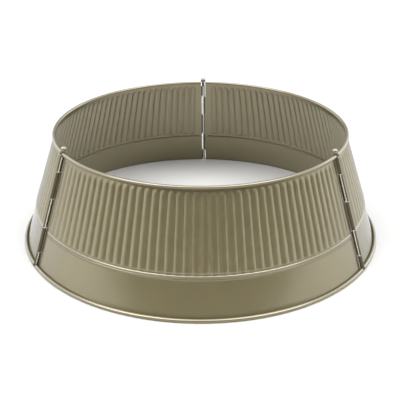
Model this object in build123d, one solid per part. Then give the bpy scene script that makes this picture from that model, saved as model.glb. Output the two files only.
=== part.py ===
from build123d import *
import math
import os

# Christmas tree collar.
# Three pressed sheet panels stand as a tapered ring round the foot of a tree.
# Curled knuckles along their edges interlock, and a ball-headed pin drops through each joint.
# The origin is the centre of the ring on the floor, with +Z up and the front panel towards -Y.
# Lengths are in millimetres and angles in degrees.

# Ring
bottom_rim_radius = 330.0
top_rim_radius = 265.0
collar_height = 203.0
sheet_thickness = 0.8
panel_count = 3
front_panel_start = 210.0

# Rolled rims, curled outwards, with a flat ground under the bottom one to stand on
rim_roll_diameter = 6.6
rim_roll_turn = 300.0
foot_flat_depth = 0.3

# Flutes, pressed outwards side by side in the upper band
flutes_per_panel = 41
flute_margin_turn = 3.4
flute_height = 2.2
flute_end_length = 4.0
flute_top_below_rim = 8.5
flute_bottom_above_floor = 71.0

# Double bead under the flutes
bead_count = 2
bead_width = 3.8
bead_height = 1.2
bead_top_above_floor = 69.0
bead_margin_turn = 1.5

# Pins
rod_diameter = 4.6
rod_play = 0.35
rod_start = 0.6
ball_diameter = 10.6
ball_rise = 4.2
knob_neck_diameter = 6.2
knob_bore_play = 0.05
knob_bore_past_centre = 1.5
knob_seat_gap = 0.2
rod_end_gap = 0.2

# Knuckles along each joint, from the floor up
knuckle_edge_shares = (0.0, 0.13, 0.35, 0.60, 0.83, 0.96)
knuckle_gap = 2.0
knuckle_side_gap = 0.5
rim_side_gap = 1.0
knuckle_lip_angle = 38.0
open_hook_lip_angle = 130.0
closed_hook_lip_angle = 225.0
hook_bend_radius = 1.2
cut_overrun = 20.0

# Derived sizes of the sheet's cross-section, in radius and height
panel_turn = 360.0 / panel_count
rim_roll_radius = rim_roll_diameter / 2
rim_curl_radius = rim_roll_radius - sheet_thickness / 2
bottom_roll_centre = Vector(bottom_rim_radius - rim_roll_radius, rim_roll_radius - foot_flat_depth)
top_roll_centre = Vector(top_rim_radius - rim_roll_radius, collar_height - rim_roll_radius)
roll_run = top_roll_centre - bottom_roll_centre
lean = math.degrees(math.atan2(-roll_run.X, roll_run.Y))
lean_cos = math.cos(math.radians(lean))
lean_sin = math.sin(math.radians(lean))
outward = Vector(lean_cos, lean_sin)
half_wall_run = sheet_thickness / 2 / lean_cos
flute_top = collar_height - flute_top_below_rim

# Derived sizes of the joints
rod_radius = rod_diameter / 2
knuckle_bore_radius = rod_radius + rod_play
knuckle_radius = knuckle_bore_radius + sheet_thickness
knuckle_curl_radius = knuckle_bore_radius + sheet_thickness / 2
notch_reach = math.sqrt((knuckle_radius + knuckle_side_gap) ** 2 - knuckle_bore_radius ** 2)
rim_reach = knuckle_radius + rim_side_gap
hook_reach = 2 * math.sqrt(knuckle_curl_radius * hook_bend_radius)


def middle_radius(height):
    """Radius of the sheet's middle surface at a height above the floor."""
    start = bottom_roll_centre - outward * rim_curl_radius
    return start.X - (height - start.Y) * lean_sin / lean_cos


def outer_radius(height):
    return middle_radius(height) + half_wall_run


def inner_radius(height):
    return middle_radius(height) - half_wall_run


joint_foot = Vector(middle_radius(0), 0) + outward * knuckle_curl_radius
joint_length = (collar_height - joint_foot.Y) / lean_cos


def ribbon_face(centre, radius, start, turn):
    """Cross-section of sheet bent to an arc: centre, outer radius, start angle and turn."""
    outer = CenterArc(centre, radius, start, turn)
    inner = CenterArc(centre, radius - sheet_thickness, start, turn)
    return make_face([outer, inner, Line(outer @ 0, inner @ 0), Line(outer @ 1, inner @ 1)])


def swept(face, start=0.0, turn=panel_turn):
    """A cross-section turned about the ring's axis, from an angle and through a turn."""
    upright = Plane.XZ * face
    return Rot(0, 0, start) * revolve(upright, Axis.Z, turn)


def joint_plane(angle):
    """Frame of a joint: Z up along the pin, Y straight out of the sheet, X towards smaller angles."""
    radial = Vector(math.cos(math.radians(angle)), math.sin(math.radians(angle)))
    tangent = Vector(-radial.Y, radial.X)
    along = radial * -lean_sin + Vector(0, 0, lean_cos)
    foot = radial * joint_foot.X + Vector(0, 0, joint_foot.Y)
    return Plane(origin=foot, x_dir=-tangent, z_dir=along)


def sheet_to_roll(height, roll_centre):
    """Cross-section of the plain sheet from a level cut to where a rim's curl begins."""
    outer = roll_centre - outward * (rim_roll_radius - sheet_thickness)
    inner = roll_centre - outward * rim_roll_radius
    corners = [
        (inner_radius(height), height),
        (outer_radius(height), height),
        (outer.X, outer.Y),
        (inner.X, inner.Y),
    ]
    return make_face(Polyline(*corners, close=True))


def lower_profile():
    """Cross-section of the plain lower band with its rolled rim, ground flat on the floor."""
    curl = ribbon_face(bottom_roll_centre, rim_roll_radius, lean + 180, rim_roll_turn)
    below = Pos(bottom_roll_centre.X, 0) * Rectangle(
        2 * rim_roll_diameter, rim_roll_diameter, align=(Align.CENTER, Align.MAX)
    )
    return sheet_to_roll(flute_bottom_above_floor, bottom_roll_centre) + curl - below


def upper_profile():
    """Cross-section of the sheet above the flutes with the rolled top rim."""
    curl = ribbon_face(top_roll_centre, rim_roll_radius, lean + 180 - rim_roll_turn, rim_roll_turn)
    return sheet_to_roll(flute_top, top_roll_centre) + curl


def beaded_profile():
    """The lower cross-section with its small beads pressed outwards."""
    crest_radius = (bead_width * bead_width / 4 + bead_height * bead_height) / (2 * bead_height)
    profile = lower_profile()
    for place in range(bead_count):
        height = bead_top_above_floor - (place + 0.5) * bead_width * lean_cos
        surface = Vector(outer_radius(height), height)
        centre = surface + outward * (bead_height - crest_radius)
        inside = Pos(inner_radius(height), height) * Rot(0, 0, lean) * Rectangle(
            2 * bead_width, 2 * bead_width, align=(Align.MAX, Align.CENTER)
        )
        profile = profile + (Pos(centre.X, centre.Y) * Circle(crest_radius) - inside)
        profile = profile - Pos(centre.X, centre.Y) * Circle(crest_radius - sheet_thickness)
    return profile


def lower_band():
    """The lower band of one panel, whose beads stop short of the joints."""
    ends_turn = panel_turn - bead_margin_turn
    beaded = swept(beaded_profile(), bead_margin_turn, panel_turn - 2 * bead_margin_turn)
    plain = lower_profile()
    return beaded + swept(plain, 0.0, bead_margin_turn) + swept(plain, ends_turn, bead_margin_turn)


def polar(radius, angle, height):
    return Vector(radius * math.cos(math.radians(angle)), radius * math.sin(math.radians(angle)), height)


def scallop_edges(radius, crest_height, height):
    """A row of arcs from the start joint to the end joint, with a flute in each pitch."""
    pitch = (panel_turn - 2 * flute_margin_turn) / flutes_per_panel
    edges = [arc_edge(radius, 0.0, flute_margin_turn, 0.0, height)]
    for place in range(flutes_per_panel):
        start = flute_margin_turn + place * pitch
        edges.append(arc_edge(radius, start, start + pitch, crest_height, height))
    edges.append(arc_edge(radius, panel_turn - flute_margin_turn, panel_turn, 0.0, height))
    return edges


def arc_edge(radius, start, end, crest_height, height):
    middle = (start + end) / 2
    return ThreePointArc(
        polar(radius, start, height),
        polar(radius + crest_height, middle, height),
        polar(radius, end, height),
    )


def flute_section(height, crest_height):
    """Level section through the fluted sheet: the same arcs on both faces, one wall apart."""
    outer = scallop_edges(outer_radius(height), crest_height, height)
    inner = scallop_edges(inner_radius(height), crest_height, height)
    sides = [Line(outer[0] @ 0, inner[0] @ 0), Line(outer[-1] @ 1, inner[-1] @ 1)]
    return make_face(outer + inner + sides)


def fluted_band():
    """The fluted sheet, with flutes that rise and fade over a short length at both ends."""
    sections = [
        flute_section(flute_bottom_above_floor, 0.0),
        flute_section(flute_bottom_above_floor + flute_end_length, flute_height),
        flute_section(flute_top - flute_end_length, flute_height),
        flute_section(flute_top, 0.0),
    ]
    return loft(sections, ruled=True)


def joint_box(angle, low, high, reach):
    """Space beside a joint between two places along the pin, out to a reach on the leaf's side."""
    side = 1 if reach > 0 else -1
    width = abs(reach) + cut_overrun
    middle = side * (abs(reach) - cut_overrun) / 2
    block = Box(width, 2 * cut_overrun, high - low, align=(Align.CENTER, Align.CENTER, Align.MIN))
    return joint_plane(angle).location * Pos(middle, 0, low) * block


def rim_clearance(angle):
    """Space that ends the bottom roll beside a joint and leaves the sheet behind it."""
    width = rim_reach + cut_overrun
    height = rim_roll_diameter + cut_overrun
    block = Box(width, cut_overrun, height, align=(Align.CENTER, Align.MIN, Align.MIN))
    middle = (cut_overrun - rim_reach) / 2
    return joint_plane(angle).location * Pos(middle, -knuckle_bore_radius, -cut_overrun) * block


def knuckle_spans(first):
    """Both ends of every second knuckle along the joint, starting at the given one."""
    spans = []
    for place in range(first, len(knuckle_edge_shares) - 1, 2):
        low = knuckle_edge_shares[place] * joint_length + knuckle_gap / 2
        high = knuckle_edge_shares[place + 1] * joint_length - knuckle_gap / 2
        spans.append((low, high))
    return spans


def notches(angle, spans, side):
    """Spaces beside the given knuckles, wider where a rolled rim ends.

    Elsewhere the sheet's outer corner keeps the side gap from the other leaf's round knuckle.
    """
    limits = [-cut_overrun]
    for low, high in spans:
        limits.extend([low, high])
    limits.append(joint_length + cut_overrun)
    cuts = []
    for low, high in zip(limits[0::2], limits[1::2]):
        at_rim = low < 0 or high > joint_length
        reach = rim_reach if at_rim else notch_reach
        cuts.append(joint_box(angle, low, high, side * reach))
    return cuts


def curl_face():
    """Curl that passes inside the pin, round its far side and back, for a leaf on the +X side."""
    return ribbon_face((0, 0), knuckle_radius, knuckle_lip_angle, 270 - knuckle_lip_angle)


def hook_face(lip_angle):
    """Hook that turns outwards before the pin and over its outside, for a leaf on the +X side."""
    drop = knuckle_curl_radius - hook_bend_radius
    meet = math.degrees(math.atan2(-drop, hook_reach))
    hook = ribbon_face((0, 0), knuckle_radius, meet, lip_angle - meet)
    bend_outer = hook_bend_radius + sheet_thickness / 2
    bend = ribbon_face((hook_reach, -drop), bend_outer, 180 + meet, 90 - meet)
    return hook + bend


def knuckle(angle, face, span):
    """One knuckle: its cross-section drawn out along the pin over its span."""
    low, high = span
    solid = extrude(Pos(0, 0, low) * face, amount=high - low, dir=(0, 0, 1))
    return joint_plane(angle).location * solid


def panel(start_hooks=False, end_hooks=False):
    """One third of the ring. Its start edge has three knuckles and its end edge has two."""
    start_spans = knuckle_spans(0)
    end_spans = knuckle_spans(1)
    cuts = [rim_clearance(0.0)] + notches(0.0, start_spans, -1) + notches(panel_turn, end_spans, 1)
    start_face = curl_face()
    if start_hooks:
        start_face = hook_face(closed_hook_lip_angle)
        cuts.extend([joint_box(0.0, low, high, -hook_reach) for low, high in start_spans])
    end_face = curl_face()
    if end_hooks:
        end_face = hook_face(open_hook_lip_angle)
        cuts.extend([joint_box(panel_turn, low, high, hook_reach) for low, high in end_spans])
    start_face = mirror(start_face, about=Plane.YZ)
    knuckles = [knuckle(0.0, start_face, span) for span in start_spans]
    knuckles.extend([knuckle(panel_turn, end_face, span) for span in end_spans])
    return (lower_band() + fluted_band() + swept(upper_profile()) - cuts) + knuckles


def pin_rod(angle):
    """Plain steel rod through a joint, from just above the floor up into its knob."""
    top = joint_length + ball_rise + knob_bore_past_centre - rod_end_gap
    rod = Cylinder(rod_radius, top - rod_start, align=(Align.CENTER, Align.CENTER, Align.MIN))
    return joint_plane(angle).location * Pos(0, 0, rod_start) * rod


def pin_knob(angle):
    """Ball with a neck that seats on the top knuckle, bored for the rod."""
    ball_place = joint_length + ball_rise
    seat = knuckle_spans(0)[-1][1] + knob_seat_gap
    upright = (Align.CENTER, Align.CENTER, Align.MIN)
    ball = Pos(0, 0, ball_place) * Sphere(ball_diameter / 2)
    neck = Pos(0, 0, seat) * Cylinder(knob_neck_diameter / 2, ball_place - seat, align=upright)
    bore_depth = ball_place + knob_bore_past_centre - seat
    bore = Pos(0, 0, seat) * Cylinder(rod_radius + knob_bore_play, bore_depth, align=upright)
    return joint_plane(angle).location * (ball + neck - bore)


left_joint = front_panel_start
right_joint = left_joint + panel_turn
rear_joint = right_joint + panel_turn
panels = {
    "front_panel": Rot(0, 0, left_joint) * panel(),
    "rear_right_panel": Rot(0, 0, right_joint) * panel(end_hooks=True),
    "rear_left_panel": Rot(0, 0, rear_joint) * panel(start_hooks=True),
}
joints = {"left_pin": left_joint, "right_pin": right_joint, "rear_pin": rear_joint}

os.makedirs("parts", exist_ok=True)
for name, solid in panels.items():
    export_step(solid, "parts/" + name + ".step")
for name, angle in joints.items():
    export_step(pin_rod(angle), "parts/" + name + "_rod.step")
    export_step(pin_knob(angle), "parts/" + name + "_knob.step")
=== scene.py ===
# %% [markdown]
# # A christmas tree collar
# The real object is a tapered ring of thin sheet metal that hides the stand of a tree. Three equal panels
# are pressed with flutes and a double bead, their rims are rolled, and ball-headed pins join them.
# The CAD model already fixes every size and every joint. It is loaded first and never moved, and this
# lesson builds finer pieces over it, in the same place and in metres.

# %% Load the fixed frame
import math

import bpy
import numpy as np
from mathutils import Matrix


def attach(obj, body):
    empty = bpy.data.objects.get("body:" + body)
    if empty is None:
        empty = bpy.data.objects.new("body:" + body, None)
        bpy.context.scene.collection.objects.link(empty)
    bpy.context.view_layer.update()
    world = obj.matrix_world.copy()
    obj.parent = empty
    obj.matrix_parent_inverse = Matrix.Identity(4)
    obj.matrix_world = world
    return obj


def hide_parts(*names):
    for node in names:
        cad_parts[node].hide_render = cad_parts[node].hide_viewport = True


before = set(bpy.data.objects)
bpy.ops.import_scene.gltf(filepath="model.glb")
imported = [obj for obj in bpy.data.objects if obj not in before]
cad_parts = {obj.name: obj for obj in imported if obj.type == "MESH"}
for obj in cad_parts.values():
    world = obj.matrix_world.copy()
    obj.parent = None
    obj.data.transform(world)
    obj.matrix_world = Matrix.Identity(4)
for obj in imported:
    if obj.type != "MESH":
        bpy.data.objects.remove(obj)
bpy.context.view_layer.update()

print("CAD nodes:", sorted(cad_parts))

# %% [markdown]
# ## The collar's sizes
# Every form below follows from a few sizes in millimetres and degrees, the same ones as in the CAD model.
# They could be typed in wherever they are used. Named once, they show a reader what each number means.
# The wall leans inwards as it rises, so a distance along the wall is a little longer than the height that
# it reaches.

# %% Sizes of the ring and its sheet
MM = 0.001
bottom_rim_radius = 330.0
top_rim_radius = 265.0
collar_height = 203.0
sheet_thickness = 0.8
panel_turn = 120.0
rim_roll_diameter = 6.6
rim_roll_turn = 300.0
foot_flat_depth = 0.3
joint_angles = {"left": 210.0, "right": 330.0, "rear": 90.0}

rim_roll_radius = rim_roll_diameter / 2
rim_curl_radius = rim_roll_radius - sheet_thickness / 2
bottom_roll = np.array([bottom_rim_radius - rim_roll_radius, rim_roll_radius - foot_flat_depth])
top_roll = np.array([top_rim_radius - rim_roll_radius, collar_height - rim_roll_radius])
lean = math.atan2(bottom_roll[0] - top_roll[0], top_roll[1] - bottom_roll[1])
lean_cos = math.cos(lean)
lean_sin = math.sin(lean)
outward = np.array([lean_cos, lean_sin])
wall_start = bottom_roll - outward * rim_curl_radius
wall_foot_radius = wall_start[0] + wall_start[1] * lean_sin / lean_cos
print("The wall leans by", round(math.degrees(lean), 2), "degrees")

# %% [markdown]
# ## The knuckles' places
# Along each joint the sheet is cut into fingers, and each finger is curled round the pin. The fingers of
# the two panels take turns, like a door hinge, so each panel's start edge has three and its end edge two.
# Each finger could be placed by eye. Shares of the joint's length are used instead, so that both panels
# read the same places and always fit. A place is measured up the pin from the floor.

# %% Knuckles and the spans that they fill
rod_diameter = 4.6
rod_clearance = 0.35
notch_clearance = 0.5
rim_clearance = 1.0
knuckle_gap = 2.0
knuckle_edge_shares = (0.0, 0.13, 0.35, 0.60, 0.83, 0.96)

knuckle_bore_radius = rod_diameter / 2 + rod_clearance
knuckle_curl_radius = knuckle_bore_radius + sheet_thickness / 2
knuckle_outer_radius = knuckle_bore_radius + sheet_thickness
notch_reach = math.sqrt((knuckle_outer_radius + notch_clearance) ** 2 - knuckle_bore_radius ** 2)
rim_reach = knuckle_outer_radius + rim_clearance
joint_foot = np.array([wall_foot_radius, 0.0]) + outward * knuckle_curl_radius
joint_length = (collar_height - joint_foot[1]) / lean_cos


def knuckle_spans(first):
    """Both ends of every second knuckle along a joint, starting at the given one."""
    spans = []
    for place in range(first, len(knuckle_edge_shares) - 1, 2):
        low = knuckle_edge_shares[place] * joint_length + knuckle_gap / 2
        high = knuckle_edge_shares[place + 1] * joint_length - knuckle_gap / 2
        spans.append((low, high))
    return spans


start_spans = knuckle_spans(0)
end_spans = knuckle_spans(1)
print("Knuckles on a start edge:", [[round(x, 1) for x in span] for span in start_spans])

# %% [markdown]
# ## Flutes and beads on the wall
# On the real collar a plain band rises from the foot. Above it two beads run round the ring, and the flutes
# fill the rest of the wall almost to the top rim. A photograph gives heights, but the sheet is measured
# along its lean, so the heights are turned into places along the wall here, once and for all.

# %% Where the flutes and beads lie
flutes_per_panel = 41
flute_margin_turn = 3.4
flute_foot_height = 70.6
flute_head_drop = 8.5
flute_foot_length = 2.4
flute_head_length = 11.0
bead_head_height = 69.0
bead_width = 4.2
bead_count = 2

flute_foot = flute_foot_height / lean_cos
flute_head = (collar_height - flute_head_drop) / lean_cos
bead_head = bead_head_height / lean_cos
bead_foot = bead_head - bead_count * bead_width
wall_low = wall_start[1] / lean_cos
wall_high = (top_roll[1] - rim_curl_radius * lean_sin) / lean_cos
print("Along the wall the beads fill", [round(x, 1) for x in (bead_foot, bead_head)],
      "and the flutes", [round(x, 1) for x in (flute_foot, flute_head)])

# %% [markdown]
# ## Rows of the blank
# A real panel starts as a flat blank. It is drawn here already bent to the ring, as a grid of rows and
# columns on the middle of the sheet. The rows run round the ring, from the bottom roll's lip to the top
# roll's. Even rows would do, but far fewer are needed when they crowd only where the sheet bends.

# %% Rows up the wall
plain_spacing = 12.0
flute_spacing = 4.2
closest_rows = 0.15
rows_per_bead = 7
foot_arch_rows = 5
head_arch_rows = 6
below_beads = (0.4, 1.2)
above_foot_arch = (0.6, 2.0)


def spread(low, high, longest):
    """Evenly spaced places from low to high, no further apart than the longest step."""
    steps = max(1, math.ceil((high - low) / longest))
    return np.linspace(low, high, steps + 1)


def eased(low, high, steps):
    """Places from low to high that crowd together near low."""
    return low + (high - low) * (1 - np.cos(np.linspace(0, math.pi / 2, steps + 1)))


foot_arch_top = flute_foot + flute_foot_length
wall_places = np.concatenate([
    spread(wall_low, bead_foot - below_beads[1], plain_spacing),
    [bead_foot - below_beads[0]],
    spread(bead_foot, bead_head, bead_width / rows_per_bead),
    eased(flute_foot, foot_arch_top, foot_arch_rows),
    [foot_arch_top + above_foot_arch[0]],
    spread(foot_arch_top + above_foot_arch[1], flute_head - flute_head_length, flute_spacing),
    flute_head - eased(0.0, flute_head_length, head_arch_rows),
    [wall_high],
    np.ravel(start_spans)[1:],
    np.ravel(end_spans),
])
wall_places = np.unique(np.round(wall_places, 4))
wall_places = wall_places[np.append(True, np.diff(wall_places) > closest_rows)]
print(len(wall_places), "rows on the wall")

# %% [markdown]
# ## Painted highlights on crests and painted shade in grooves
# The lacquer's colour is painted paler along the crests of the rims and beads, where they catch the
# overhead light, as a painted highlight, and darker in the grooves and under the rolls' lips, as painted
# shade. Both could be painted by hand. Here every row gets two numbers from 0 to 1, worked out from where it
# lies on its roll or bead, so the painted light follows the shape exactly.

# %% How much painted highlight and painted shade a rolled rim gets
# The painted highlight is centred where a roll faces 55 degrees up from straight out, towards the overhead
# light.
crest_angle = 55.0
crest_spread = 22.0
# Past the crest, towards its lip, a roll gets painted shade: a dark line in the crevice beside the wall.
lip_start = 45.0
lip_blend = 30.0
lip_shade_strength = 0.8
top_rim_highlight_share = 0.5


def from_crest(angle):
    """Degrees round a roll from where it faces outwards and upwards, from -180 to 180."""
    return (math.degrees(angle) - crest_angle + 180.0) % 360.0 - 180.0


def roll_painted_highlight(angle):
    """How much painted highlight a roll gets: most on its crest, where it faces the overhead light."""
    return math.exp(-(from_crest(angle) / crest_spread) ** 2)


def roll_painted_shade(angle, side):
    """How much painted shade a roll gets past its crest, towards a lip that lies on side 1 or -1 of it."""
    return lip_shade_strength * min(1.0, max(0.0, (side * from_crest(angle) - lip_start) / lip_blend))


print("A roll is half rubbed at", round(crest_spread * math.sqrt(math.log(2.0)), 1), "degrees from its crest")

# %% [markdown]
# The beads get painted light in the same way: a painted highlight along the upper part of each, where it
# faces the overhead light, and painted shade in the groove between them and in the one below. Places are
# counted in bead widths down from the upper bead's top, so one pair of rules serves both beads.

# %% How much painted highlight and painted shade the beads get
# The painted highlight sits on the upper part of each bead, weaker on the lower bead.
bead_highlight_place = 0.28
bead_highlight_reach = 0.3
lower_bead_highlight_share = 0.2
# The grooves between and below the beads get painted shade.
groove_shade_strength = 0.5
grooves = ((0.95, 0.3), (1.8, 0.4))


def bead_painted_highlight(along):
    """How much painted highlight a bead gets at a place along the wall, mostly on its upper part."""
    down = (bead_head - along) / bead_width
    if not 0 < down < bead_count:
        return 0.0
    share = 1.0 if down < 1 else lower_bead_highlight_share
    return max(0.0, 1.0 - abs(down % 1.0 - bead_highlight_place) / bead_highlight_reach) * share


def groove_painted_shade(along):
    """How much painted shade the grooves beside the beads get at a place along the wall."""
    down = (bead_head - along) / bead_width
    return groove_shade_strength * max(0.0, *(1.0 - abs(down - groove) / reach for groove, reach in grooves))


print("Grooves along the wall:", [round(bead_head - groove * bead_width, 1) for groove, reach in grooves])

# %% [markdown]
# ## The cross-section
# Each row is a point of the sheet's cross-section, as a radius and a height. The rolls turn outwards by
# most of a circle and the wall between them is straight. They could be three separate pieces, but one pass
# through all rows keeps the sheet in one piece, as it is when its rims are rolled.

# %% The sheet's cross-section, row by row
roll_steps = 15


def on_roll(centre, angle):
    """Radius and height of a point of the sheet's middle on a roll."""
    return centre + rim_curl_radius * np.array([math.cos(angle), math.sin(angle)])


def cross_section():
    """Radius, height, place along the wall, share of the pressing, painted highlight and painted shade of
    each row.
    """
    wall_side = lean + math.pi
    turn = math.radians(rim_roll_turn)
    rows = []
    for step in range(roll_steps, 0, -1):
        angle = wall_side + turn * step / roll_steps
        rows.append((*on_roll(bottom_roll, angle), wall_low, 0.0, roll_painted_highlight(angle), roll_painted_shade(angle, 1)))
    for along in wall_places:
        rows.append((wall_foot_radius - along * lean_sin, along * lean_cos, along, 1.0,
                     bead_painted_highlight(along), groove_painted_shade(along)))
    for step in range(1, roll_steps + 1):
        angle = wall_side - turn * step / roll_steps
        rub = roll_painted_highlight(angle) * top_rim_highlight_share
        rows.append((*on_roll(top_roll, angle), wall_high, 0.0, rub, roll_painted_shade(angle, -1)))
    return np.array(rows)


section = cross_section()
print("Cross-section of", len(section), "points, from height", round(section[:, 1].min(), 2))

# %% [markdown]
# ## The curled fingers
# The columns run up the panel, and the last ones at each joint curl a finger round its pin. A closed finger
# passes inside the pin and wraps it. The rear joint's fingers are hooks instead, which turn outwards first,
# and two of them stay open, so that the ring can be hooked together there. A bend modifier could curl flat
# fingers, but points placed on two arcs give the exact gap round the pin.

# %% Curls and hooks seen along the pin
knuckle_lip_angle = 38.0
open_hook_lip_angle = 130.0
closed_hook_lip_angle = 225.0
hook_bend_radius = 1.2
inside_angle = 270.0


def round_pin(angles):
    """Points round a pin, each as its distance into the panel and out of the sheet from the pin's axis."""
    return [(knuckle_curl_radius * math.cos(angle), knuckle_curl_radius * math.sin(angle))
            for angle in np.radians(angles)]


def curl(columns):
    """A closed finger, from the flat sheet past the inside of the pin to its lip."""
    flat = (notch_reach / 2, -knuckle_curl_radius)
    return [flat] + round_pin(np.linspace(inside_angle, knuckle_lip_angle, columns))


def hook(lip_angle, bend_columns, columns):
    """A hook that turns outwards before the pin, in a small bend, and then goes over its outside."""
    reach = 2 * math.sqrt(knuckle_curl_radius * hook_bend_radius)
    drop = knuckle_curl_radius - hook_bend_radius
    meet = math.degrees(math.atan2(-drop, reach))
    bend = [(reach + hook_bend_radius * math.cos(angle), -drop + hook_bend_radius * math.sin(angle))
            for angle in np.radians(np.linspace(inside_angle, 180.0 + meet, bend_columns))]
    return bend + round_pin(np.linspace(meet, lip_angle, columns)[1:])


pin_curl = curl(columns=15)
open_hook = hook(open_hook_lip_angle, bend_columns=7, columns=11)
closed_hook = hook(closed_hook_lip_angle, bend_columns=7, columns=17)
print("Columns of a curl and both hooks:", len(pin_curl), len(closed_hook), len(open_hook))

# %% [markdown]
# ## Columns of the blank
# Between the fingers the sheet is notched, so that the other panel's fingers can pass. The notch could be
# cut with a boolean, which leaves ragged faces. Here the first columns bend to follow its outline instead:
# each row starts as far from the joint as its rim, notch or finger needs. Then come the plain margin and
# the flutes, with more columns in a flute's valley than on its back.

# %% Columns across a panel
flute_shares = (0.0, 0.04, 0.13, 0.30, 0.50, 0.70, 0.87, 0.96)
margin_shares = (0.0, 0.12, 0.26, 0.40, 0.52, 0.64, 0.82, 1.0)
finger_clearance = 0.1
near = 0.01


def notch_turns(spans, finger):
    """Turn from a joint to the sheet's edge for each row: at a rim, beside a knuckle or at a finger."""
    along = section[:, 2]
    at_rim = (section[:, 3] == 0) | (along > spans[-1][1] + near)
    if spans is end_spans:
        at_rim |= along < spans[0][0] - near
    reach = np.where(at_rim, rim_reach, notch_reach)
    finger_reach = max(notch_reach, finger[0][0] + finger_clearance)
    for low, high in spans:
        reach[(along > low - near) & (along < high + near) & ~at_rim] = finger_reach
    return np.arcsin(reach / section[:, 0])


def panel_columns(start_finger, end_finger):
    """The turn from the start joint of every column at every row."""
    whole, margin = math.radians(panel_turn), math.radians(flute_margin_turn)
    pitch = (whole - 2 * margin) / flutes_per_panel
    start_notch, end_notch = notch_turns(start_spans, start_finger), notch_turns(end_spans, end_finger)
    columns = [start_notch + (margin - start_notch) * share for share in margin_shares[:-1]]
    for flute in range(flutes_per_panel):
        columns += [np.full(len(section), margin + pitch * (flute + share)) for share in flute_shares]
    columns.append(np.full(len(section), whole - margin))
    columns += [whole - end_notch - (margin - end_notch) * share for share in margin_shares[-2::-1]]
    return columns


print(len(panel_columns(pin_curl, pin_curl)), "columns across a panel")

# %% [markdown]
# ## Cutting the blank
# A blank is a plain mesh: a point for each row of each column, and faces between them. The press could draw
# it too, but plain Python handles notches and fingers more easily. Every point carries six facts for later
# steps: its turn from the start joint, its place along the wall, how much of the pressing reaches it, how
# much painted shade it gets (full on the finger curls, some under the rolls' lips and in the grooves), how
# much painted highlight it gets, and the direction straight out of the wall.

# %% Places beside a joint


def pin_line(angle):
    """The direction outwards at a joint, the direction up its pin, and where the pin meets the floor."""
    radial = np.array([math.cos(angle), math.sin(angle), 0.0])
    up_pin = radial * -lean_sin + np.array([0.0, 0.0, lean_cos])
    foot = radial * joint_foot[0] + np.array([0.0, 0.0, joint_foot[1]])
    return radial, up_pin, foot


def joint_point(angle, side, into, out, along):
    """A point beside a joint: into the panel, out of the sheet and along the pin, as a place in the ring."""
    radial, up_pin, foot = pin_line(angle)
    tangent = np.array([-radial[1], radial[0], 0.0]) * side
    out_wall = radial * lean_cos + np.array([0.0, 0.0, lean_sin])
    return foot + tangent * into + out_wall * out + up_pin * along


def finger_rows(low, high):
    """The rows that a finger fills and their places along its pin. The lowest finger starts on the roll."""
    rows = [(roll_steps - 1, low)] if low <= wall_low else []
    for row in range(roll_steps, roll_steps + len(wall_places)):
        if low - near <= section[row, 2] <= high + near:
            rows.append((row, section[row, 2]))
    return rows


print("Rows in the start edge's fingers:", [len(finger_rows(*span)) for span in start_spans])

# %% [markdown]
# The next cell collects points and faces by name, as a cutter marks out a sheet: a grid point is called by
# its column and row, and a finger's point by its edge, step and row. Names make it easy to join a finger
# to the sheet, because both can ask for the same border point.

# %% A blank and its parts


class Blank:
    """Points, facts and faces of one panel's sheet before it is pressed."""

    def __init__(self, start_angle):
        self.start = math.radians(start_angle)
        self.places, self.facts, self.faces, self.number = [], [], [], {}

    def add_point(self, key, place, turn, along, pressed=0.0, curled=0.0, rubbed=0.0):
        angle = self.start + turn
        self.number[key] = len(self.places)
        self.places.append(place)
        self.facts.append((math.degrees(turn), along, pressed, curled, rubbed,
                           math.cos(angle) * lean_cos, math.sin(angle) * lean_cos, lean_sin))

    def add_face(self, *keys):
        self.faces.append([self.number[key] for key in keys])

    def lay_grid(self, columns):
        """The sheet itself, from margin to margin."""
        for column, turns in enumerate(columns):
            for row, (radius, height, along, pressed, rubbed, row_shade) in enumerate(section):
                angle = self.start + turns[row]
                place = (radius * math.cos(angle), radius * math.sin(angle), height)
                # Each grid point takes its row's painted shade and painted highlight.
                self.add_point((column, row), place, turns[row], along, pressed, row_shade, rubbed)
        for column in range(len(columns) - 1):
            for row in range(len(section) - 1):
                self.add_face((column, row), (column + 1, row), (column + 1, row + 1), (column, row + 1))

    def curl_finger(self, edge, turn, side, border, finger, span):
        """One finger, joined to the sheet along its border column."""
        rows = finger_rows(*span)
        for step, (into, out) in enumerate(finger):
            for row, along in rows:
                place = joint_point(self.start + turn, side, into, out, along)
                # Every point of a finger gets full painted shade: a darker colour and a thinner coat on the
                # curl.
                self.add_point((edge, step, row), place, turn, along, curled=1.0)
        for step in range(len(finger)):
            inner = (edge, step - 1) if step else (border,)
            for row, along in rows[:-1]:
                face = ((*inner, row), (*inner, row + 1), (edge, step, row + 1), (edge, step, row))
                self.add_face(*face[::side])

    def as_mesh(self, name):
        """The finished mesh, with its facts stored at every point."""
        mesh = bpy.data.meshes.new(name)
        mesh.from_pydata((np.array(self.places) * MM).tolist(), [], self.faces)
        facts = np.array(self.facts)
        for column, fact in enumerate(("turn", "along", "pressed", "curled", "rubbed")):
            mesh.attributes.new(fact, "FLOAT", "POINT").data.foreach_set("value", facts[:, column].copy())
        mesh.attributes.new("out", "FLOAT_VECTOR", "POINT").data.foreach_set("vector", facts[:, 5:].ravel())
        mesh.update()
        return mesh


print("Ready to cut blanks")

# %% [markdown]
# The three panels are alike except at the rear joint, where one has closed hooks and the other open ones.
# So one function cuts all three, and a small plan says at which joint each panel starts and which fingers
# it gets.

# %% Cut the three blanks


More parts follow.
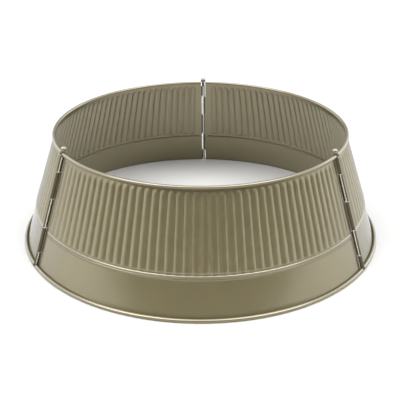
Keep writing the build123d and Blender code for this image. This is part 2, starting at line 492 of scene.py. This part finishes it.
def cut_blank(name, start_angle, start_finger, end_finger):
    """Mesh of one panel's plain sheet, with its notches cut and its fingers curled."""
    columns = panel_columns(start_finger, end_finger)
    blank = Blank(start_angle)
    blank.lay_grid(columns)
    for span in start_spans:
        blank.curl_finger("start", 0.0, 1, 0, start_finger, span)
    for span in end_spans:
        blank.curl_finger("end", math.radians(panel_turn), -1, len(columns) - 1, end_finger, span)
    return blank.as_mesh(name)


panel_plan = {
    "front_panel": (joint_angles["left"], pin_curl, pin_curl),
    "rear_right_panel": (joint_angles["right"], pin_curl, open_hook),
    "rear_left_panel": (joint_angles["rear"], closed_hook, pin_curl),
}
blanks = {name: cut_blank(name + "_blank", *plan) for name, plan in panel_plan.items()}
print({name: len(mesh.polygons) for name, mesh in blanks.items()}, "cells")

# %% [markdown]
# ## Wires for node trees
# The finishes, the press and the studio's sky are all trees of nodes. A tree can be drawn by hand in
# Blender's editor, but a script can be read and run again. Its sums would take many lines, so a wire of a
# tree gets plain arithmetic here: adding two wires adds the node that adds them.

# %% Wires that can be added and multiplied


class Wire:
    """A value on its way through a node tree. Arithmetic on it adds Math nodes."""

    def __init__(self, tree, socket):
        self.tree, self.socket = tree, socket

    def math(self, operation, *others, first=None):
        """A Math node on this wire and others, or on a first value and this wire."""
        node = self.tree.nodes.new("ShaderNodeMath")
        node.operation = operation
        feed(self.tree, node, enumerate((self, *others) if first is None else (first, self)))
        return Wire(self.tree, node.outputs["Value"])

    def __add__(self, other):
        return self.math("ADD", other)

    def __sub__(self, other):
        return self.math("SUBTRACT", other)

    def __rsub__(self, other):
        return self.math("SUBTRACT", first=other)

    def __mul__(self, other):
        return self.math("MULTIPLY", other)

    def __truediv__(self, other):
        return self.math("DIVIDE", other)

    def __gt__(self, other):
        return self.math("GREATER_THAN", other)

    def __lt__(self, other):
        return self.math("LESS_THAN", other)

    def at_least(self, other):
        return self.math("MAXIMUM", other)

    def at_most(self, other):
        return self.math("MINIMUM", other)


print("A wire can be put through:", [name for name in vars(Wire) if not name.startswith("_")])

# %% [markdown]
# Four helpers finish the set, for wires and plain values alike. They feed a node's inputs, add a node of
# any kind, do arithmetic on directions, and map one range of a value onto another, in a straight line or
# with a soft start and end.

# %% Helpers that add nodes


def feed(tree, node, inputs):
    """Feeds a node's inputs, given as names or places and their wires or plain values."""
    for name, value in inputs:
        if isinstance(value, Wire):
            tree.links.new(value.socket, node.inputs[name])
        else:
            node.inputs[name].default_value = value


def add_node(tree, kind, output, settings=None, **inputs):
    """A node with its settings and then its inputs by name, handed back as the wire of one output."""
    node = tree.nodes.new(kind)
    for name, setting in (settings or {}).items():
        setattr(node, name, setting)
    feed(tree, node, inputs.items())
    return Wire(tree, node.outputs[output])


def vector_math(tree, operation, first, second=None, output="Vector"):
    """Vector arithmetic on wires or plain vectors."""
    node = tree.nodes.new("ShaderNodeVectorMath")
    node.operation = operation
    feed(tree, node, [(0, first)])
    if second is not None:
        feed(tree, node, [("Scale" if operation == "SCALE" else 1, second)])
    return Wire(tree, node.outputs[output])


def mapped(wire, low, high, to_low=0.0, to_high=1.0, kind="SMOOTHSTEP"):
    """A step between two numbers as the wire goes from low to high, soft unless another kind is named."""
    return add_node(wire.tree, "ShaderNodeMapRange", "Result", {"interpolation_type": kind},
                    **{"Value": wire, "From Min": low, "From Max": high, "To Min": to_low, "To Max": to_high})


print("Helpers for node trees ready")

# %% [markdown]
# ## Patterns for finishes
# The metal's colour and gloss wander a little, as sprayed lacquer does. Painted images could show this, but
# procedural noise has no seams and no fixed size. It reads Object coordinates, in metres, so it stays on
# the sheet when a panel swings. A bump tilts the light without moving the surface, so it is used only for
# grain that is too fine to model. What the eye reads as shape is real geometry on this collar.

# %% A new material, its patterns and its bump
noise_middle = (0.3, 0.7)


def new_material(name):
    """A material with an empty tree, its Principled shader and its Object coordinates."""
    material = bpy.data.materials.new(name)
    material.use_nodes = True
    tree = material.node_tree
    tree.nodes.clear()
    output = tree.nodes.new("ShaderNodeOutputMaterial")
    shader = tree.nodes.new("ShaderNodeBsdfPrincipled")
    tree.links.new(shader.outputs["BSDF"], output.inputs["Surface"])
    return material, shader, add_node(tree, "ShaderNodeTexCoord", "Object")


def noise(place, scale, detail=3.0):
    """A noise pattern at a scale in waves per metre, as a value from 0 to 1."""
    return add_node(place.tree, "ShaderNodeTexNoise", "Fac", Vector=place, Scale=scale, Detail=detail)


def fact_on_sheet(tree, name):
    """A value that is stored at the points of the mesh."""
    return add_node(tree, "ShaderNodeAttribute", "Fac", {"attribute_name": name})


def mixed(tree, share, first, second, kind="MIX"):
    """Two colours mixed by a share, or multiplied where that kind is named."""
    return add_node(tree, "ShaderNodeMix", "Result", {"data_type": "RGBA", "blend_type": kind},
                    Factor=share, A=first, B=second)


def between(share, first, second):
    """Two plain colours mixed by a pattern."""
    return mixed(share.tree, share, (*first, 1.0), (*second, 1.0))


def fine_bump(height, depth):
    """The tilted surface of a bump of a given depth in metres, from a pattern."""
    return add_node(height.tree, "ShaderNodeBump", "Normal", Height=height, Distance=depth)


print("Patterns ready")

# %% [markdown]
# ## The champagne lacquer
# The collar is lacquered in a satin champagne colour: a muted gold metal under a clear coat. Seen straight
# on, the gold shows, and at a low angle the coat turns pale. One plain metal would be quicker, but only the
# layers of metal and coat behave like the real finish in any light. The blank's facts paint light into the
# colour: a painted highlight makes the crests paler, and painted shade makes the curls, the grooves and the
# rolls' lips darker, with less coat.

# %% Lacquered sheet and lacquered knobs
metal_share = 0.7
coat_roughness = 0.13
coat_ior = 1.8
edge_tint = (0.55, 0.62, 0.74)
# Colour tones for no painted light, painted shade and painted highlight; coat weight in full painted shade.
no_painted_light = (1.0, 1.0, 1.0)
painted_shade_tone = (0.42, 0.40, 0.38)
rubbed_tone = (1.25, 1.37, 2.15)
coat_in_painted_shade = 0.25
colour_waves, gloss_waves, grain_waves, grain_detail = 14.0, 45.0, 900.0, 2.0
grain_depth = 0.02 * MM


def lacquered_metal(name, dark, light, roughness):
    """Satin paint with metal in it under a clear coat, darkened by painted shade and paled by painted
    highlight.
    """
    material, shader, place = new_material(name)
    tree = place.tree
    curled, rubbed = fact_on_sheet(tree, "curled"), fact_on_sheet(tree, "rubbed")
    colour = between(noise(place, colour_waves), dark, light)
    # Painted shade darkens the colour and the painted highlight pales it.
    for fact, tone in ((curled, painted_shade_tone), (rubbed, rubbed_tone)):
        colour = mixed(tree, 1.0, colour, between(fact, no_painted_light, tone), "MULTIPLY")
    feed(tree, shader, {
        "Base Color": colour,
        "Metallic": metal_share,
        "Specular Tint": (*edge_tint, 1.0),
        "Roughness": mapped(noise(place, gloss_waves), *noise_middle, *roughness, "LINEAR"),
        # Painted shade also thins the coat, so shaded places reflect less.
        "Coat Weight": mapped(curled, 0.0, 1.0, 1.0, coat_in_painted_shade, "LINEAR"),
        "Coat Roughness": coat_roughness,
        "Coat IOR": coat_ior,
        "Normal": fine_bump(noise(place, grain_waves, grain_detail), grain_depth),
    }.items())
    return material


champagne = lacquered_metal("champagne_sheet", dark=(0.225, 0.188, 0.088), light=(0.250, 0.209, 0.099),
                            roughness=(0.30, 0.38))
knob_champagne = lacquered_metal("champagne_knob", dark=(0.27, 0.24, 0.15), light=(0.30, 0.27, 0.17),
                                 roughness=(0.26, 0.34))
print("Lacquers:", champagne.name, "and", knob_champagne.name)

# %% [markdown]
# ## The pins' steel
# The rods are bright steel, drawn through a die, which leaves fine lines along them. Each rod could get
# coordinates of its own. But their axes all stand close to upright, so noise that is stretched upwards
# gives the same lines, and no one can see the small lean in lines this fine.

# %% Drawn steel
streak_waves = 1500.0
streak_stretch = (1.0, 1.0, 0.05)
streak_shade = 0.85


def drawn_steel(name, tint, roughness):
    """Bright drawn rod with fine lines along it."""
    material, shader, place = new_material(name)
    lines = add_node(place.tree, "ShaderNodeMapping", "Vector", Vector=place, Scale=streak_stretch)
    streaks = noise(lines, streak_waves)
    feed(place.tree, shader, {
        "Base Color": between(streaks, [part * streak_shade for part in tint], tint),
        "Metallic": 1.0,
        "Roughness": mapped(streaks, *noise_middle, *roughness, "LINEAR"),
        "Normal": fine_bump(streaks, grain_depth),
    }.items())
    return material


pin_steel = drawn_steel("drawn_steel", tint=(0.78, 0.76, 0.71), roughness=(0.20, 0.30))
print("Rods' finish:", pin_steel.name)

# %% [markdown]
# ## A bench for the press
# On the real panel one press forms the flutes and the beads, and every stroke follows the same rule. The
# ribs could be modelled one by one, but a Geometry Nodes tree presses them all, and its named inputs are
# the tool's sizes. The bench below knows where a tree's values come from: a size is an input of the
# modifier, and a fact is stored on the blank. Slow noise, with its seed as an input, gives the unevenness
# of any thin pressed sheet.

# %% Sizes, facts and chance


class Bench:
    """A Geometry Nodes tree that takes a sheet and gives a sheet."""

    def __init__(self, name):
        self.tree = bpy.data.node_groups.new(name, "GeometryNodeTree")
        for side in ("OUTPUT", "INPUT"):
            self.tree.interface.new_socket("Sheet", in_out=side, socket_type="NodeSocketGeometry")
        self.entry = self.tree.nodes.new("NodeGroupInput")
        self.exit = self.tree.nodes.new("NodeGroupOutput")

    def size(self, name, kind="NodeSocketFloat"):
        """A named input of the tree, made when it is first asked for."""
        if name not in self.entry.outputs:
            self.tree.interface.new_socket(name, in_out="INPUT", socket_type=kind)
        return Wire(self.tree, self.entry.outputs[name])

    def fact(self, name, kind="FLOAT"):
        """A value stored on the blank by name."""
        return add_node(self.tree, "GeometryNodeInputNamedAttribute", "Attribute", {"data_type": kind},
                        Name=name)

    def from_end(self):
        """Degrees of turn to the nearer end of the panel."""
        turn = self.fact("turn")
        return turn.at_most(self.size("Panel turn") - turn)

    def chance(self, across, up, offset):
        """Noise from about -0.5 to 0.5, with its waves per degree across and per millimetre up the sheet."""
        spot = add_node(self.tree, "ShaderNodeCombineXYZ", "Vector",
                        X=self.fact("turn") * across, Y=self.fact("along") * up)
        pattern = add_node(self.tree, "ShaderNodeTexNoise", "Fac", {"noise_dimensions": "4D"},
                           Vector=spot, W=self.size("Seed") + offset, Scale=1.0, Detail=1.0)
        return pattern - 0.5


print("Bench ready")

# %% [markdown]
# ## The rule for the flutes
# A flute is a rib with a round back and a narrow valley on each side. One rib could be modelled and
# repeated, but then its ends and valleys would have to be joined to the sheet. Pushing the sheet itself is
# simpler: across a flute the height follows an arch, with the valley softened as the metal's own bend
# softens it, and at both ends the arch shrinks until the flute closes. Slow noise makes some flutes a
# little higher than others and presses a few shallow dents into their backs.

# %% How far the flutes push the sheet


def flute_push(bench):
    """How far the flutes push each point outwards, in millimetres."""
    turn, along = bench.fact("turn"), bench.fact("along")
    whole, margin = bench.size("Panel turn"), bench.size("Flute margin")
    foot, head = bench.size("Flute foot"), bench.size("Flute head")

    flutes = (turn - margin) / (whole - margin * 2.0) * bench.size("Flutes", "NodeSocketInt")
    across = flutes.math("FRACT") * 2.0 - 1.0
    past_foot = 1.0 - (along - foot) / bench.size("Flute foot length")
    past_head = 1.0 - (head - along) / bench.size("Flute head length")
    past = past_foot.at_least(past_head).at_least(0.0)
    arch = (1.0 - across * across - past * past).at_least(0.0)

    soft = bench.size("Valley softness")
    soft_square = soft * soft
    rounded = (arch * arch + soft_square).math("SQRT") - soft
    highest = (soft_square + 1.0).math("SQRT") - soft
    uneven = bench.chance(across=1.1, up=0.015, offset=7.0) * bench.size("Ripple") + 1.0
    dents = bench.chance(across=0.4, up=0.11, offset=21.0) * bench.size("Dents") * arch
    push = rounded / highest * bench.size("Flute height") * uneven + dents
    return push * ((turn > margin) * (turn < whole - margin))


print("A flute spans", round((panel_turn - 2 * flute_margin_turn) / flutes_per_panel, 2), "degrees of turn")

# %% [markdown]
# ## The rule for the beads
# The two beads are round ribs, one above the other, and the lower one is flatter. Across a bead the height
# follows a circle through both its edges and its crest, which is the form that a round rolling tool leaves.
# Shortly before each joint the beads fade out, where the real sheet is left flat for its curls.

# %% How far the beads push the sheet
bead_fade_turn = 0.9


def bead_push(bench):
    """How far the beads push each point outwards, in millimetres."""
    width = bench.size("Bead width")
    upper_height = bench.size("Bead height")
    down = (bench.size("Bead head") - bench.fact("along")) / width
    in_beads = (down > 0.0) * (down < bench.size("Beads", "NodeSocketInt"))
    is_lower = down.at_least(0.0).at_most(1.0).math("FLOOR")
    height = (bench.size("Lower bead height") - upper_height) * is_lower + upper_height

    half = width / 2.0
    off_middle = (down.math("FRACT") - 0.5) * width
    radius = (half * half + height * height) / (height * 2.0)
    circle = (radius * radius - off_middle * off_middle).at_least(0.0).math("SQRT")
    bead = (circle - (radius - height)).at_least(0.0)
    bead_margin = bench.size("Bead margin")
    return bead * in_beads * mapped(bench.from_end(), bead_margin, bead_margin + bead_fade_turn)


print("The beads fade over", bead_fade_turn, "degrees of turn")

# %% [markdown]
# ## The press, as a node tree
# The tree adds both rules and moves every point straight out of the wall by the sum. A second small move
# slides points sideways, so that the valleys wander a little as they do on any thin sheet. It fades out
# towards the joints, where the panels must fit. The tree ends in Realize Instances and Set Material, which
# leave one plain mesh in its finish.

# %% The press tree and its sizes


def press_tree():
    """The tree that presses a blank and gives the sheet its finish."""
    bench = Bench("press flutes and beads")
    tree = bench.tree
    push = (flute_push(bench) + bead_push(bench)) * bench.fact("pressed")
    pushed = vector_math(tree, "SCALE", bench.fact("out", "FLOAT_VECTOR"), push)

    margin = bench.size("Flute margin")
    wander = bench.chance(across=0.5, up=0.02, offset=0.0) * bench.size("Wander")
    slide = wander * mapped(bench.from_end(), margin, margin * 3.0)
    place = add_node(tree, "GeometryNodeInputPosition", "Position")
    sideways = vector_math(tree, "NORMALIZE", vector_math(tree, "CROSS_PRODUCT", (0.0, 0.0, 1.0), place))
    slid = vector_math(tree, "SCALE", sideways, slide)

    move = vector_math(tree, "SCALE", vector_math(tree, "ADD", pushed, slid), MM)
    sheet = add_node(tree, "GeometryNodeSetPosition", "Geometry", Geometry=bench.size("Sheet"), Offset=move)
    sheet = add_node(tree, "GeometryNodeRealizeInstances", "Geometry", Geometry=sheet)
    sheet = add_node(tree, "GeometryNodeSetMaterial", "Geometry", Geometry=sheet,
                     Material=bench.size("Metal", "NodeSocketMaterial"))
    feed(tree, bench.exit, [("Sheet", sheet)])
    return tree


press = press_tree()
press_sizes = {
    "Flutes": flutes_per_panel, "Panel turn": panel_turn, "Flute margin": flute_margin_turn,
    "Flute foot": flute_foot, "Flute foot length": flute_foot_length,
    "Flute head": flute_head, "Flute head length": flute_head_length,
    "Flute height": 2.2, "Valley softness": 0.12, "Wander": 1.6, "Ripple": 0.22, "Dents": 1.0,
    "Beads": bead_count, "Bead head": bead_head, "Bead width": bead_width,
    "Bead height": 1.6, "Lower bead height": 0.8, "Bead margin": 1.3, "Metal": champagne,
}
print("The press has", len(press.nodes), "nodes")

# %% [markdown]
# ## Pressing the panels
# Each blank goes through the press. A second skin could be modelled by hand, but a Solidify modifier keeps
# the sheet's gauge even round every bend, half on each side of the middle surface. The result becomes a
# plain mesh, because a finished piece has to swing with its panel, and its bottom roll is set flat on the
# floor. Sharp edges are marked by angle, so that the sheet's cut edges stay crisp.

# %% Press, thicken and finish each panel
sheet_sharp_angle = 42.0
first_seed = 3.0
seed_step = 5.0


def put_inputs(modifier, values):
    """Sets a tree's named inputs by their sockets' identifiers."""
    for socket in modifier.node_group.interface.items_tree:
        if socket.item_type == "SOCKET" and socket.in_out == "INPUT" and socket.name in values:
            modifier[socket.identifier] = values[socket.name]


def make_plain(piece):
    """Replaces an object's modifiers by their result."""
    evaluated = piece.evaluated_get(bpy.context.evaluated_depsgraph_get())
    result = bpy.data.meshes.new_from_object(evaluated)
    piece.modifiers.clear()
    piece.data = result


def pressed_panel(name, blank, seed):
    """One panel from its blank: pressed, thickened, set flat on the floor and handed to the frame."""
    piece = bpy.data.objects.new("pressed_" + name, blank)
    bpy.context.collection.objects.link(piece)
    tool = piece.modifiers.new("press", "NODES")
    tool.node_group = press
    put_inputs(tool, {**press_sizes, "Seed": seed})
    wall = piece.modifiers.new("thickness", "SOLIDIFY")
    wall.thickness = sheet_thickness * MM
    wall.offset = 0.0
    wall.use_even_offset = True
    make_plain(piece)
    for point in piece.data.vertices:
        point.co.z = max(point.co.z, 0.0)
    piece.data.shade_smooth()
    piece.data.set_sharp_from_angle(angle=math.radians(sheet_sharp_angle))
    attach(piece, name)
    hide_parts(name)
    return piece


for place, (name, blank) in enumerate(blanks.items()):
    piece = pressed_panel(name, blank, first_seed + seed_step * place)
    piece.data.calc_loop_triangles()
    print(name, len(piece.data.loop_triangles), "triangles")

# %% [markdown]
# ## The pins
# Each joint is held by a steel rod with a small knob on top to pull it by. The rods from the CAD model are
# right as they are and only get their finish. The knobs are made finer here: a ball on a short sleeve with
# a chamfered foot. A sphere and a cylinder could be joined, but a turned part is most simply one outline
# spun round its own axis, as on a lathe.

# %% The knob's outline
ball_radius = 5.3
ball_rise = 4.2
ball_foot_angle = -60.0
ball_rings = 21
ball_shade = 1.1
seat_gap = 0.2
seat_radius = 2.75
sleeve_radius = 2.95
sleeve_length = 1.6
sleeve_chamfer = 0.25
bore_clearance = 0.05
bore_end_rise = 1.5

ball_place = joint_length + ball_rise
knob_seat = start_spans[-1][1] + seat_gap


def knob_outline():
    """Radius, place along the pin and painted shade of each ring: the bore, the sleeve and then the ball."""
    bore_radius = rod_diameter / 2 + bore_clearance
    bore_end = ball_place + bore_end_rise
    # The bore and the sleeve, under the ball, get full painted shade.
    outline = [(0.0, bore_end, 1.0), (bore_radius, bore_end, 1.0), (bore_radius, knob_seat, 1.0),
               (seat_radius, knob_seat, 1.0), (sleeve_radius, knob_seat + sleeve_chamfer, 1.0),
               (sleeve_radius, knob_seat + sleeve_length, 1.0)]
    for angle in np.radians(np.linspace(ball_foot_angle, 90.0, ball_rings)):
        # The ball's lower half gets painted shade, darkest at its foot, as if lit from above.
        shade = max(0.0, -math.sin(angle) * ball_shade)
        outline.append((ball_radius * math.cos(angle), ball_place + ball_radius * math.sin(angle), shade))
    return outline


print("The knob's outline has", len(knob_outline()), "rings")

# %% [markdown]
# Spinning the outline needs two directions square to the leaning pin. Where the outline meets the axis, a
# ring shrinks to one point, so the ball's top and the bore's end are closed by triangles and no hole or
# doubled point is left.

# %% Turn the knobs and finish the rods
knob_sharp_angle = 35.0
on_axis = 1e-6


def turned(name, outline, angle, steps):
    """Mesh of an outline spun round a joint's pin, closed at both poles."""
    radial, up_pin, foot = pin_line(angle)
    side = np.cross(up_pin, radial)
    side /= np.linalg.norm(side)
    front = np.cross(side, up_pin)
    places, shades, rings = [], [], []
    for radius, along, shade in outline:
        pole = radius < on_axis
        ring = []
        for step in range(1 if pole else steps):
            spin = 2 * math.pi * step / steps
            ring.append(len(places))
            places.append(foot + up_pin * along + radius * (front * math.cos(spin) + side * math.sin(spin)))
            shades.append(shade)
        rings.append(ring * steps if pole else ring)
    faces = []
    for lower, upper in zip(rings[:-1], rings[1:]):
        for step in range(steps):
            after = (step + 1) % steps
            corners = [lower[step], lower[after], upper[after], upper[step]]
            faces.append(list(dict.fromkeys(corners)))
    mesh = bpy.data.meshes.new(name)
    mesh.from_pydata((np.array(places) * MM).tolist(), [], faces)
    # Each ring's painted shade is stored for the lacquer to darken.
    mesh.attributes.new("curled", "FLOAT", "POINT").data.foreach_set("value", shades)
    mesh.update()
    mesh.shade_smooth()
    mesh.set_sharp_from_angle(angle=math.radians(knob_sharp_angle))
    return mesh


for side, joint_angle in joint_angles.items():
    mesh = turned(side + "_knob", knob_outline(), math.radians(joint_angle), steps=32)
    mesh.materials.append(knob_champagne)
    knob = bpy.data.objects.new("turned_" + side + "_knob", mesh)
    bpy.context.collection.objects.link(knob)
    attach(knob, side + "_pin")
    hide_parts(side + "_pin_knob")
    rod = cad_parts[side + "_pin_rod"]
    for place in rod.material_slots:
        place.material = pin_steel
    print(side, "knob turned with", len(mesh.polygons), "faces, and its rod finished")

# %% [markdown]
# ## Studio floor
# A product picture shows such a collar on a plain pale floor. Studios often hang a curved backdrop, but one
# square is enough here. It is so wide that its far edge lies outside the photograph's view.

# %% A plain pale floor
floor_half = 60.0
floor_tone = 0.62
floor_roughness = 0.9


def studio_floor():
    """One large matt square under the ring."""
    mesh = bpy.data.meshes.new("studio_floor")
    mesh.from_pydata([(x * floor_half, y * floor_half, 0.0) for x, y in ((-1, -1), (1, -1), (1, 1), (-1, 1))],
                     [], [(0, 1, 2, 3)])
    material, shader, _ = new_material("pale_floor")
    tone = (floor_tone, floor_tone, floor_tone, 1.0)
    feed(material.node_tree, shader, [("Base Color", tone), ("Roughness", floor_roughness)])
    mesh.materials.append(material)
    floor = bpy.data.objects.new("studio_floor", mesh)
    bpy.context.collection.objects.link(floor)


studio_floor()
print("Floor laid,", 2 * floor_half, "metres wide")

# %% [markdown]
# ## Soft light from all round
# Lacquered metal mirrors its surroundings softly, so they make its look. Area lights could be hung round
# the ring, but a sky whose brightness depends only on direction is simpler and stays in place when the
# camera moves. It is darker on the viewer's side, as where a camera and its operator stand, which turns the
# middle of the satin front deeper in colour than its flanks.

# %% The sky's brightness round the ring
sky_turn = 7.0
sky_levels = ((0.0, 0.22), (0.05, 0.20), (0.14, 0.23), (0.25, 0.54), (0.42, 1.20), (0.65, 1.15), (0.85, 0.70),
              (1.0, 0.50))


def toward(direction, x, y, z):
    """How much a direction of the sky points along x, y, z: 1 straight along it and -1 straight away."""
    return vector_math(direction.tree, "DOT_PRODUCT", direction, (x, y, z), output="Value")


def new_sky():
    """A world with an empty tree, its Background light and the direction of each spot of the sky."""
    world = bpy.data.worlds.new("studio_sky")
    bpy.context.scene.world = world
    world.use_nodes = True
    tree = world.node_tree
    tree.nodes.clear()
    output = tree.nodes.new("ShaderNodeOutputWorld")
    light = tree.nodes.new("ShaderNodeBackground")
    tree.links.new(light.outputs["Background"], output.inputs["Surface"])
    return tree, light, add_node(tree, "ShaderNodeTexCoord", "Generated")


def level_round(direction):
    """The sky's brightness from the viewer's side (0) to the far side (1), as a colour ramp."""
    turn = math.radians(sky_turn)
    far = toward(direction, -math.sin(turn), math.cos(turn), 0.0).math("MULTIPLY_ADD", 0.5, 0.5)
    ramp = direction.tree.nodes.new("ShaderNodeValToRGB")
    ramp.color_ramp.interpolation = "EASE"
    feed(direction.tree, ramp, [("Fac", far)])
    elements = ramp.color_ramp.elements
    while len(elements) < len(sky_levels):
        elements.new(0.5)
    for element, (place, level) in zip(elements, sky_levels):
        element.position = place
        element.color = (level, level, level, 1.0)
    return Wire(direction.tree, ramp.outputs["Color"])


sky, sky_light, sky_direction = new_sky()
feed(sky, sky_light, [("Color", level_round(sky_direction))])
print("The sky has", len(sky_levels), "levels from front to back")

# %% [markdown]
# A wide soft box hangs overhead in such a studio and lights the flutes and the floor. Here it is an ellipse
# in the sky, brighter towards both sides. Two small lights behind the flanks draw the pale line along the
# rolled rims. All of them only add strength to the sky, so the floor and the metal see the same light.

# %% The overhead light and two rim lights
overhead_centre = -0.22
overhead_width = 0.78
overhead_depth = 0.46
overhead_edge = (1.2, 0.8)
overhead_middle = 1.3
overhead_flank = 3.6
flank_reach = 0.35
rim_light = (0.64, 0.66, 0.38)
rim_light_edge = 0.90
rim_light_core = 0.96
rim_light_strength = 1.8


def overhead_light(direction):
    """Extra strength in an ellipse overhead, more of it towards both sides."""
    aside = toward(direction, 1.0, 0.0, 0.0)
    across = (aside / overhead_width).math("POWER", 2.0)
    deep = ((toward(direction, 0.0, 1.0, 0.0) - overhead_centre) / overhead_depth).math("POWER", 2.0)
    above = toward(direction, 0.0, 0.0, 1.0) > 0.0
    ellipse = mapped(across + deep, *overhead_edge) * above
    return ellipse * mapped(aside.math("ABSOLUTE"), 0.0, flank_reach, overhead_middle, overhead_flank)


def rim_lights(direction):
    """Extra strength in two soft spots, the same on both sides."""
    x, y, z = rim_light
    nearer = toward(direction, x, y, z).at_least(toward(direction, -x, y, z))
    return mapped(nearer, rim_light_edge, rim_light_core, 0.0, rim_light_strength)


sky_strength = overhead_light(sky_direction) + rim_lights(sky_direction) + 1.0
feed(sky, sky_light, [("Strength", sky_strength)])
bpy.context.scene.view_settings.view_transform = "Standard"
print("The sky has", len(sky.nodes), "nodes")

# %% [markdown]
# ## Camera
# The camera stands where the photographer's did: in front of the ring and above it, looking down at about
# twenty-six degrees. It could be placed by trial, but here its place and lens come from fitting circles of
# the collar's known sizes to the outlines in the photograph, which is exact to a pixel or two.

# %% Camera at the photograph's angle
camera_distance = 1.5189
camera_elevation = 27.58
camera_pitch = 25.85
camera_turn = 1.20
camera_lens = 71.26
sensor_width = 36.0
picture_width = 400
shift_pixels = (-0.51, 1.06)


def photo_camera():
    """A camera in front of the ring that looks down at it, and the scene's own."""
    data = bpy.data.cameras.new("photo_camera")
    data.sensor_width = sensor_width
    data.lens = camera_lens
    data.shift_x, data.shift_y = (pixels / picture_width for pixels in shift_pixels)
    camera = bpy.data.objects.new("photo_camera", data)
    bpy.context.collection.objects.link(camera)
    turn, rise = math.radians(camera_turn), math.radians(camera_elevation)
    back = np.array([math.sin(turn) * math.cos(rise), -math.cos(turn) * math.cos(rise), math.sin(rise)])
    camera.location = back * camera_distance
    camera.rotation_mode = "XYZ"
    camera.rotation_euler = (math.radians(90.0 - camera_pitch), 0.0, turn)
    bpy.context.scene.camera = camera
    return camera


camera = photo_camera()
print("Camera at", [round(x, 3) for x in camera.location])

# %% [markdown]
# ## Finishing
# The last line updates the view layer, so that every piece's place is current.

# %% Update the view layer
bpy.context.view_layer.update()
